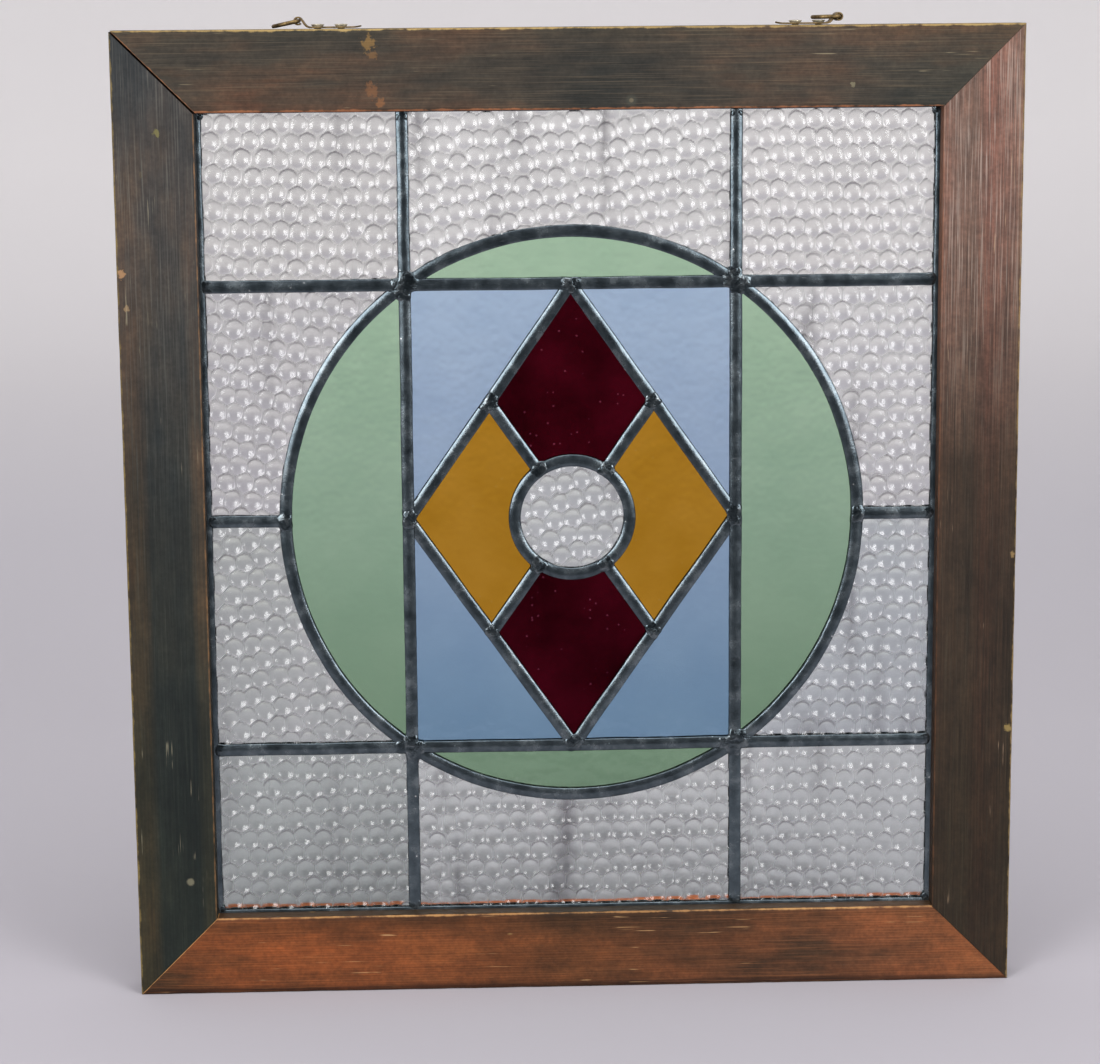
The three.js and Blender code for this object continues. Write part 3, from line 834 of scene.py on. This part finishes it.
slope = math.degrees(math.atan2(leadY, leadX))
for side, x in sides.items():
    def flip(*angles):
        return [leftOrRight(x, angle) for angle in angles]
    solderJoint(f"side_circle_{side}", x * circleRadius, 0, flip(0, 90, -90), 0.95)
    solderJoint(f"side_border_{side}", x * innerX, 0, flip(180), 0.8, flip(90, -90), 0.72)
    solderJoint(f"diamond_{side}", x * leadX, 0, flip(90, -90, 180 - slope, 180 + slope), 1.0)
    for level, y in levels.items():
        def turned(*angles):
            return [leftOrRight(x, upOrDown(y, angle)) for angle in angles]
        solderJoint(
            f"rectangle_{level}_{side}", x * leadX, y * leadY,
            turned(0, 90, 180, 270, slope + 90, slope - 90), 1.45,
        )
        solderJoint(
            f"horizontal_border_{level}_{side}", x * innerX, y * leadY, turned(180), 0.85,
            turned(90, -90), 0.72,
        )
        solderJoint(
            f"vertical_border_{level}_{side}", x * leadX, y * (innerY - 1.5), turned(-90), 0.75,
            turned(0, 180), 0.72,
        )
        solderJoint(
            f"border_corner_{level}_{side}", x * (innerX + 2.5), y * (innerY - 0.5), turned(-90, 180),
            0.55, tall=0.65,
        )
        spoke = math.degrees(spokeAngle)
        solderJoint(
            f"spoke_diamond_{level}_{side}", x * leadX / 2, y * leadY / 2,
            turned(spoke + 180, 180 - slope, -slope), 0.9,
        )
        solderJoint(
            f"spoke_ring_{level}_{side}", x * ringRadius * math.cos(spokeAngle),
            y * ringRadius * math.sin(spokeAngle), turned(spoke, spoke + 90, spoke - 90), 0.9,
        )
for level, y in levels.items():
    solderJoint(
        f"diamond_{level}", 0, y * leadY,
        [upOrDown(y, angle) for angle in (0, 180, -slope, slope - 180)], 1.0,
    )
print("solder done")

# ---- Clear hammered panes ----
glassIndex = 1.5
# Their front is beaten into round hollows, with the ridges between them left at full thickness.
hammered = {
    "pitch": 10.6, "rows": 0.93, "jitter": 0.09, "curve": 10.8, "lift": 0.11, "soften": 0.04,
    # disc, arc, shade and sheen size the painted shade and painted sheen of each hollow; shadow and
    # light are their painted colours
    "depth": 1.45, "grid": 0.72, "disc": 5.1, "arc": 0.9, "shade": 3.6, "sheen": 2.2,
    "ridge": 0.9, "least": 0.05, "tilts": (0.3, 0.03), "backCell": 8.0,
    "sillRow": 4.4, "sideColumn": 3.6,   # the outer rows, from the lead
    "gloss": (0.17, 0.34), "shadow": tone(120, 118, 122), "light": tone(252, 252, 251),
    "palest": (0.93, 0.92, 0.95), "dullest": 0.94, "sheets": {   # each pane's own tint; the darker lower and left ones are also painted shade of the shadowed floor seen through them
        "top_left": (0.96, 0.98, 0.93), "top_center": (1.05, 1.08, 1.03),
        "top_right": (1.05, 1.07, 1.02),
        "left_upper": (0.89, 0.91, 0.88), "left_lower": (0.79, 0.85, 0.79),
        "right_upper": (1.03, 1.06, 1.02), "right_lower": (0.84, 0.92, 0.9),
        "bottom_left": (0.76, 0.84, 0.77), "bottom_center": (1.0, 1.07, 1.0),
        "bottom_right": (0.95, 1.02, 0.96), "center": (0.87, 0.93, 0.89),
    },
}


def clearGlassFinish(place):
    finish, tree, shader = newFinish(f"clear_glass_{place}")
    shape = hammered
    sheet = [min(1, a * b) for a, b in zip(shape["palest"], shape["sheets"][place])]
    dullest = [value * shape["dullest"] for value in sheet]
    film = mottle(tree, stretched(tree), 30, 4, 0.6)
    color = ramp(tree, film, (0.35, dullest), (0.65, sheet))
    # The rim attribute is painted shade (dark towards each hollow's top) and painted sheen (pale at its
    # foot).
    rim = attribute(tree, "rim")
    color = mixed(tree, fade(tree, rim, 0.0, 1.0), color, shape["shadow"])
    color = mixed(tree, fade(tree, rim, -0.1, -0.8, 0.9), color, shape["light"])
    shader.inputs["Transmission Weight"].default_value = 1
    shader.inputs["IOR"].default_value = glassIndex
    wire(tree, shader, color, spread(tree, attribute(tree, "ridge"), 0, 1, *shape["gloss"]))
    return finish


# Rows and columns stand at anchor, seen from the pane's middle, where it is given.
def hollowCenters(rng, reach, anchor):
    pitch = hammered["pitch"]
    rise = pitch * hammered["rows"]
    tilt = hammered["tilts"][any(anchor)]
    turn = Matrix.Rotation(rng.uniform(-tilt, tilt), 3, "Z")
    stand = Vector(((anchor[0] or 0) % pitch, (anchor[1] or 0) % rise, 0))
    count = int(reach / pitch) + 2
    centers = []
    for row in range(-count, count + 1):
        for column in range(-count, count + 1):
            spot = Vector(((column + row % 2 / 2) * pitch, row * rise, 0))
            slip = Vector((rng.gauss(0, 1), rng.gauss(0, 1), 0)) * hammered["jitter"] * pitch
            lift = rng.uniform(-1, 1) * hammered["lift"]
            centers.append((turn @ (spot + slip) + stand, lift, rng.uniform(0.15, 1)))
    tree = kdtree.KDTree(len(centers))
    for i, (spot, lift, strength) in enumerate(centers):
        tree.insert(spot, i)
    tree.balance()
    return tree, centers


def hammer(bm, middle, rng, anchor):
    shape = hammered
    reach = max((vert.co - middle).length for vert in bm.verts)
    tree, centers = hollowCenters(rng, reach, anchor)
    paintedShadeAndSheenLayer = bm.verts.layers.float.new("rim")
    ridgeLayer = bm.verts.layers.float.new("ridge")
    for vert in bm.verts:
        found = []
        for spot, i, distance in tree.find_n(vert.co - middle, 4):
            found.append((distance * distance / (2 * shape["curve"]) + centers[i][1], spot, i))
        found.sort(key=lambda item: item[0])
        lowest, home, i = found[0]
        soft = shape["soften"]
        rise = lowest - soft * math.log(sum(math.exp((lowest - item[0]) / soft) for item in found))
        vert.co.z = glassHalf - max(shape["least"], min(shape["depth"], shape["depth"] - rise))

        # A hollow gets painted shade towards its top, with a painted dark arc over it, and a painted
        # pale sheen at its foot.
        second, neighbour = found[1][:2]
        toRidge = (second - lowest) * shape["curve"] / (neighbour - home).length
        across = vert.co - middle - home
        radius = across.xy.length
        upward = across.y / max(radius, 0.01)
        arc = max(0, 1 - abs(radius - shape["disc"]) / shape["arc"])
        arc *= min(1, max(0, 0.1 + 1.6 * upward))
        shade = max(0, 1 - toRidge / shape["shade"]) * max(0, upward)
        pale = max(0, 1 - toRidge / shape["sheen"]) * min(1, max(0, -0.1 - upward))
        dark = min(1, 0.75 * arc * centers[i][2] + 0.6 * shade)
        # rim: painted shade above zero, painted sheen below zero
        vert[paintedShadeAndSheenLayer] = dark - pale
        vert[ridgeLayer] = max(0, 1 - toRidge / shape["ridge"])


def clearPane(place, low, high, cutRadius=None, keepInside=False):
    rng = random.Random(place)
    low, high = Vector((*low, 0)), Vector((*high, 0))
    size, middle, step = high - low, (low + high) / 2, hammered["grid"]
    bm = bmesh.new()
    bmesh.ops.create_grid(bm, x_segments=round(size.x / step), y_segments=round(size.y / step), size=1)
    bmesh.ops.scale(bm, vec=(size.x / 2, size.y / 2, 1), verts=bm.verts)
    bmesh.ops.translate(bm, vec=middle, verts=bm.verts)
    if cutRadius:
        side = 1 if keepInside else -1
        gone = [vert for vert in bm.verts if (vert.co.length - cutRadius) * side > step * 0.4]
        bmesh.ops.delete(bm, geom=gone, context="VERTS")
        for vert in bm.verts:
            if vert.is_boundary and abs(vert.co.length - cutRadius) < step * 1.5:
                vert.co = vert.co.normalized() * cutRadius
    anchor = (
        innerX - hammered["sideColumn"] - middle.x if "right" in place else None,
        hammered["sillRow"] - innerY - middle.y if "bottom" in place else None,
    )
    hammer(bm, middle, rng, anchor)
    rim = [edge for edge in bm.edges if edge.is_boundary]
    made = bmesh.ops.extrude_edge_only(bm, edges=rim)["geom"]
    rim = [part for part in made if isinstance(part, bmesh.types.BMEdge) and part.is_boundary]
    for vert in {vert for edge in rim for vert in edge.verts}:
        vert.co.z = -glassHalf

    # The flat back is cut into cells, so that no face is long and thin.
    back = bmesh.ops.edgeloop_fill(bm, edges=rim)["faces"]
    for axis in (0, 1):
        cut = low[axis] + hammered["backCell"]
        while cut < high[axis]:
            normal = Vector((1 - axis, axis, 0))
            sheet = back + list({part for face in back for part in face.edges[:] + face.verts[:]})
            made = bmesh.ops.bisect_plane(
                bm, geom=sheet, dist=1e-5, plane_co=normal * cut, plane_no=normal
            )
            back = [part for part in made["geom"] if isinstance(part, bmesh.types.BMFace)]
            cut += hammered["backCell"]
    makePiece(
        bm, f"clear_glass_{place}", clearGlassFinish(place),
        [f"clear_pane_{place}"], crease=60,
    )


glassEdge = leadX - benchBox("clear_pane_top_center")[1].x   # from a lead's middle
for places, radius in (
    (("top_left", "top_right", "bottom_left", "bottom_right"), None),
    (("top_center", "bottom_center", "left_upper", "left_lower"), circleRadius + glassEdge),
    (("right_upper", "right_lower"), circleRadius + glassEdge),
    (("center",), ringRadius - glassEdge),
):
    for place in places:
        low, high = benchBox(f"clear_pane_{place}")
        clearPane(place, low.xy, high.xy, radius, place == "center")
print("hammered glass done")

# ---- Coloured panes ----
tints = {
    "green": {
        "clear": tone(195, 231, 198), "deep": tone(186, 224, 191), "low": (0.62, 0.67, 0.6, 1),
        "dust": 0.25, "sheen": tone(200, 230, 205),
    },
    "blue": {
        "clear": tone(197, 224, 252), "deep": tone(188, 216, 246), "low": (0.515, 0.65, 0.685, 1),
        "dust": 0.15, "sheen": tone(195, 215, 240),
    },
    "red": {
        "clear": tone(80, 10, 25), "deep": tone(48, 4, 13), "low": (0.9, 1, 1, 1),
        "dust": 1.0, "sheen": tone(120, 8, 16),
    },
    "amber": {
        "clear": tone(218, 161, 54), "deep": tone(205, 149, 40), "low": (0.95, 0.95, 0.95, 1),
        "dust": 0.2, "sheen": tone(190, 130, 40),
    },
}
tintedShape = {
    "falls": (-0.20, -0.42),   # heights between which a tint goes over to its low value: painted shade of the shadowed floor seen through the glass
    "gloss": 0.09, "wave": 0.22, "waveDepth": 0.002, "grime": tone(232, 226, 218),
}


def tintedGlass(tint, look):
    shape = tintedShape
    finish, tree, shader = newFinish(f"{tint}_glass")
    plain = stretched(tree)
    cloud = mottle(tree, plain, 22, 4, 0.6)
    color = ramp(tree, cloud, (0.35, look["deep"]), (0.65, look["clear"]))
    height = addNode(tree, "SeparateXYZ", {"Vector": plain}).outputs["Z"]
    # Painted shade: darker towards the bottom, for the shadowed floor seen through the glass.
    color = mixed(tree, fade(tree, height, *shape["falls"]), color, tinted(tree, color, look["low"]))
    grime = figure(tree, "MULTIPLY", specks(tree, plain, 300, 0.2, 0.08), look["dust"])
    color = mixed(tree, grime, color, shape["grime"])
    shader.inputs["Transmission Weight"].default_value = 1
    shader.inputs["IOR"].default_value = glassIndex
    shader.inputs["Roughness"].default_value = shape["gloss"]
    shader.inputs["Specular Tint"].default_value = look["sheen"]
    wave = figure(tree, "ADD", mottle(tree, plain, 55, 2, 0.4), mottle(tree, plain, 130, 1, 0.4))
    wire(tree, shader, color, relief=bumped(tree, wave, shape["wave"], shape["waveDepth"]))
    return finish


for tint, look in tints.items():
    glass = tintedGlass(tint, look)
    for name, node in frame["nodes"].items():
        if name.startswith(tint + "_pane"):
            node.data.materials.clear()
            node.data.materials.append(glass)
print("coloured glass done")

# ---- Hangers ----
hanger = {
    "rod": 1.1, "rodSides": 16, "ringSide": 5.4, "ringHalf": 8.65, "ringCorner": 1.8,
    "screwXs": (10.7, 23.7), "shank": 1.8, "head": 3.75, "headHeight": 2.6, "rim": 0.4,
    "shankLength": 14.0, "tip": 4.0, "slotWidth": 1.0, "slotDepth": 0.8,
    "dip": {"left": 11.91, "right": 180 - 1.22},
}


def brassFinish(name, dark, light, dull, metallic):
    finish, tree, shader = newFinish(name)
    plain = stretched(tree)
    cloud = mottle(tree, plain, 320, 4, 0.65)
    fine = mottle(tree, plain, 1700, 2, 0.6)
    color = ramp(tree, cloud, (0.34, dark), (0.64, light))
    color = mixed(tree, fade(tree, fine, 0.6, 0.8, 0.5), color, dark)
    shader.inputs["Metallic"].default_value = metallic
    gloss = spread(tree, cloud, 0.3, 0.7, dull, dull - 0.2)
    wire(tree, shader, color, gloss, bumped(tree, fine, 0.3, 0.0002))
    return finish


oldBrass = brassFinish("old_brass", tone(76, 62, 42), tone(140, 117, 78), 0.6, 0.9)
screwMetal = brassFinish("screw_metal", tone(150, 142, 122), tone(226, 220, 198), 0.5, 0.5)


def hangingRing(side, place):
    shape = hanger
    bm = bmesh.new()
    bmesh.ops.create_circle(bm, segments=shape["rodSides"], radius=shape["rod"])
    bmesh.ops.rotate(bm, verts=bm.verts, cent=(0, 0, 0), matrix=Matrix.Rotation(math.pi / 2, 3, "Y"))
    bmesh.ops.translate(bm, verts=bm.verts, vec=(shape["ringSide"], -shape["ringHalf"], 0))
    last = bm.verts[:] + bm.edges[:]
    corner, half = shape["ringCorner"], shape["ringHalf"]
    quarter = math.pi / 2

    def bend(center, angle, steps):
        return bmesh.ops.spin(
            bm, geom=last, cent=(*center, 0), axis=(0, 0, 1), angle=angle, steps=steps
        )["geom_last"]

    def straight(x, y):
        return bmesh.ops.spin(
            bm, geom=last, cent=(0, 0, 0), axis=(0, 0, 1), dvec=(x, y, 0), angle=0, steps=1
        )["geom_last"]

    last = bend((shape["ringSide"], 0), 2 * quarter, 28)
    last = straight(corner - shape["ringSide"], 0)
    last = bend((corner, half - corner), quarter, 6)
    last = straight(0, 2 * (corner - half))
    last = bend((corner, corner - half), quarter, 6)
    last = straight(shape["ringSide"] - corner, 0)
    bmesh.ops.remove_doubles(bm, verts=bm.verts, dist=0.01)
    for vert in bm.verts:
        vert.co += vert.normal * 0.05 * noise.noise(vert.co / 2.5)
    turned = place @ Matrix.Rotation(math.radians(shape["dip"][side]), 4, "Y")
    makePiece(
        bm, f"{side}_hanging_ring_rod", oldBrass, [f"{side}_ring"],
        f"{side}_hanging_ring", turned, 60,
    )


def hangerStrap(side):
    node = frame["nodes"][f"{side}_strap"]
    bm = bmesh.new()
    bm.from_mesh(node.data)
    bmesh.ops.remove_doubles(bm, verts=bm.verts, dist=1e-6)
    bmesh.ops.dissolve_limit(
        bm, angle_limit=math.radians(2), verts=bm.verts, edges=bm.edges, use_dissolve_boundaries=False
    )
    piece = makePiece(
        bm, f"{side}_strap_plate", oldBrass, [f"{side}_strap"],
        place=Matrix.Identity(4), crease=50,
    )
    bevel = piece.modifiers.new("worn edge", "BEVEL")
    bevel.width = 0.00018
    bevel.segments = 2
    bevel.limit_method = "ANGLE"
    bevel.angle_limit = math.radians(50)


def hangerScrew(side, place, offset, pivot, turn):
    shape = hanger
    bm = bmesh.new()
    rim = shape["headHeight"] - shape["rim"]
    profile = [
        (0, -shape["shankLength"]), (shape["shank"], shape["tip"] - shape["shankLength"]),
        (shape["shank"], 0), (shape["head"], rim), (shape["head"], shape["headHeight"] - 0.25),
        (shape["head"] * 0.55, shape["headHeight"]), (0, shape["headHeight"]),
    ]
    lathe(bm, [(x, 0, z) for x, z in profile], 40, 1e-4)
    stand = (
        Matrix.Translation(pivot) @ Matrix.Scale(mm, 4)
        @ Matrix.Translation((turn * -offset, 0, 0))
    )
    cutter = bmesh.new()
    bmesh.ops.create_cube(cutter, size=1)
    bmesh.ops.scale(cutter, vec=(shape["slotWidth"], 12, 2 * shape["slotDepth"]), verts=cutter.verts)
    angle = random.Random(side + place).uniform(0.3, 1.2)
    bmesh.ops.rotate(cutter, verts=cutter.verts, cent=(0, 0, 0), matrix=Matrix.Rotation(angle, 3, "Z"))
    bmesh.ops.translate(cutter, verts=cutter.verts, vec=(0, 0, shape["headHeight"]))
    bmesh.ops.transform(cutter, matrix=stand, verts=cutter.verts)
    tool = addObject("slot", meshOf(cutter, "slot"))
    piece = makePiece(
        bm, f"{side}_screw_{place}_slotted", screwMetal, [f"{side}_screw_{place}"],
        place=stand, crease=30,
    )
    cut = piece.modifiers.new("slot", "BOOLEAN")
    cut.object = tool
    bpy.context.view_layer.update()
    evaluated = piece.evaluated_get(bpy.context.evaluated_depsgraph_get())
    carved = bpy.data.meshes.new_from_object(evaluated)
    piece.modifiers.clear()
    piece.data = carved
    bpy.data.objects.remove(tool)


for joint in frame["joints"]:
    side = joint["name"].split("_")[0]
    turn = sides[side]
    pivot = Vector(joint["pos_m"])
    facing = Matrix.Rotation(math.pi if turn < 0 else 0, 4, "Z")
    hangingRing(side, Matrix.Translation(pivot) @ facing @ Matrix.Scale(mm, 4))
    hangerStrap(side)
    for place, offset in zip(("outer", "inner"), hanger["screwXs"]):
        hangerScrew(side, place, offset, Vector((pivot.x, 0, 0)), turn)
print("hangers done")

# ---- Floor, light and camera ----
studio = {
    "floorRadius": 3.0, "bend": 2.4, "wallHeight": 3.2, "near": tone(178, 174, 180),
    "middle": tone(203, 200, 205), "far": tone(253, 250, 249),
    "sky": (0.9, 0.9, 0.92, 1), "skyStrength": 0.87,
    "soft": (
        # name, azimuth, elevation, distance, width, height, watts
        ("key_left", -33, 14, 2.3, 0.86, 1.1, 30),
        ("key_right", 35, 16, 2.3, 0.86, 1.1, 30),
    ),
    "overhead": (0.0, -1.0, 1.9, 2.2, 1.4, 29),
    "flag": (1.5, -0.5, -2.9, 1.7), "flagTone": tone(44, 46, 50),   # half width, near, far, height
}


def studioFloor():
    bm = bmesh.new()
    floorZ = cadBox[0].z
    corner = Vector((studio["floorRadius"], 0, floorZ))
    points = [Vector((0, 0, floorZ)), corner]
    steps = 12
    for i in range(1, steps + 1):
        angle = math.pi / 2 * i / steps
        points.append(corner + Vector((math.sin(angle), 0, 1 - math.cos(angle))) * studio["bend"])
    points.append(points[-1] + Vector((0, 0, studio["wallHeight"])))
    lathe(bm, points, 72, 1e-5)
    bmesh.ops.reverse_faces(bm, faces=bm.faces)
    for face in bm.faces:
        face.smooth = True
    finish, tree, shader = newFinish("pale_paper")
    place = addNode(tree, "SeparateXYZ", {"Vector": stretched(tree)})
    back = figure(tree, "DIVIDE", place.outputs["Y"], studio["floorRadius"] + studio["bend"])
    color = ramp(
        tree, back, (0.0, studio["near"]), (0.28, studio["middle"]), (0.75, studio["far"])
    )
    wire(tree, shader, color)
    shader.inputs["Roughness"].default_value = 0.9
    shader.inputs["Specular IOR Level"].default_value = 0.2
    floor = addObject("studio_floor", meshOf(bm, "studio_floor", finish))


# A dark sheet on the floor and behind the camera: only reflections show it.
def darkFlag():
    half, near, far, height = studio["flag"]
    bm = bmesh.new()
    verts = [bm.verts.new((x, near, cadBox[0].z + 0.002)) for x in (-half, half)]
    edge = bm.edges.new(verts)
    for move in ((0, far - near, 0), (0, 0, height)):
        made = bmesh.ops.extrude_edge_only(bm, edges=[edge])["geom"]
        moved = [part for part in made if isinstance(part, bmesh.types.BMVert)]
        bmesh.ops.translate(bm, verts=moved, vec=move)
        edge = bm.edges.get(moved)
    finish, tree, shader = newFinish("dark_flag")
    shader.inputs["Base Color"].default_value = studio["flagTone"]
    shader.inputs["Roughness"].default_value = 0.9
    flag = addObject("dark_flag", meshOf(bm, "dark_flag", finish))
    flag.visible_camera = flag.visible_diffuse = False
    flag.visible_transmission = flag.visible_shadow = False


def areaLight(name, spot, target, width, height, watts):
    light = bpy.data.lights.new(name, "AREA")
    light.shape = "RECTANGLE"
    light.size, light.size_y = width, height
    light.energy = watts
    lamp = addObject(name, light)
    lamp.location = spot
    lamp.rotation_euler = (target - spot).to_track_quat("-Z", "Y").to_euler()
    lamp.visible_camera = False


studioFloor()
darkFlag()
world = bpy.data.worlds.new("studio")
world.use_nodes = True
background = world.node_tree.nodes["Background"]
background.inputs["Color"].default_value = studio["sky"]
background.inputs["Strength"].default_value = studio["skyStrength"]
scene.world = world
for name, azimuth, elevation, distance, width, height, watts in studio["soft"]:
    across, up = math.radians(azimuth), math.radians(elevation)
    toLight = Vector((
        math.sin(across) * math.cos(up), -math.cos(across) * math.cos(up), math.sin(up),
    ))
    areaLight(name, panelMiddle + toLight * distance, panelMiddle, width, height, watts)
x, y, z, width, height, watts = studio["overhead"]
areaLight("overhead", Vector((x, y, z)), panelMiddle, width, height, watts)

shot = {
    "lens": 94.91, "sensor": 36, "pitch": -0.178569, "roll": 0.0142474, "yaw": -0.0315032,
    "spot": (-0.0652, -1.6356, 0.0105),
}
camera = addObject("camera", bpy.data.cameras.new("camera"))
camera.data.lens = shot["lens"]
camera.data.sensor_width = shot["sensor"]
camera.matrix_world = Matrix.Translation(shot["spot"]) @ (
    Matrix.Rotation(shot["pitch"], 4, "X") @ Matrix.Rotation(shot["roll"], 4, "Y")
    @ Matrix.Rotation(shot["yaw"], 4, "Z") @ Matrix.Rotation(math.pi / 2, 4, "X")
)
scene.camera = camera
scene.view_settings.view_transform = "Standard"
print("studio done")
faceTotal = sum(
    len(polygon.vertices) - 2
    for piece in scene.objects if piece.type == "MESH" and not piece.hide_render
    for polygon in piece.data.polygons
)
print("triangles in all:", faceTotal)
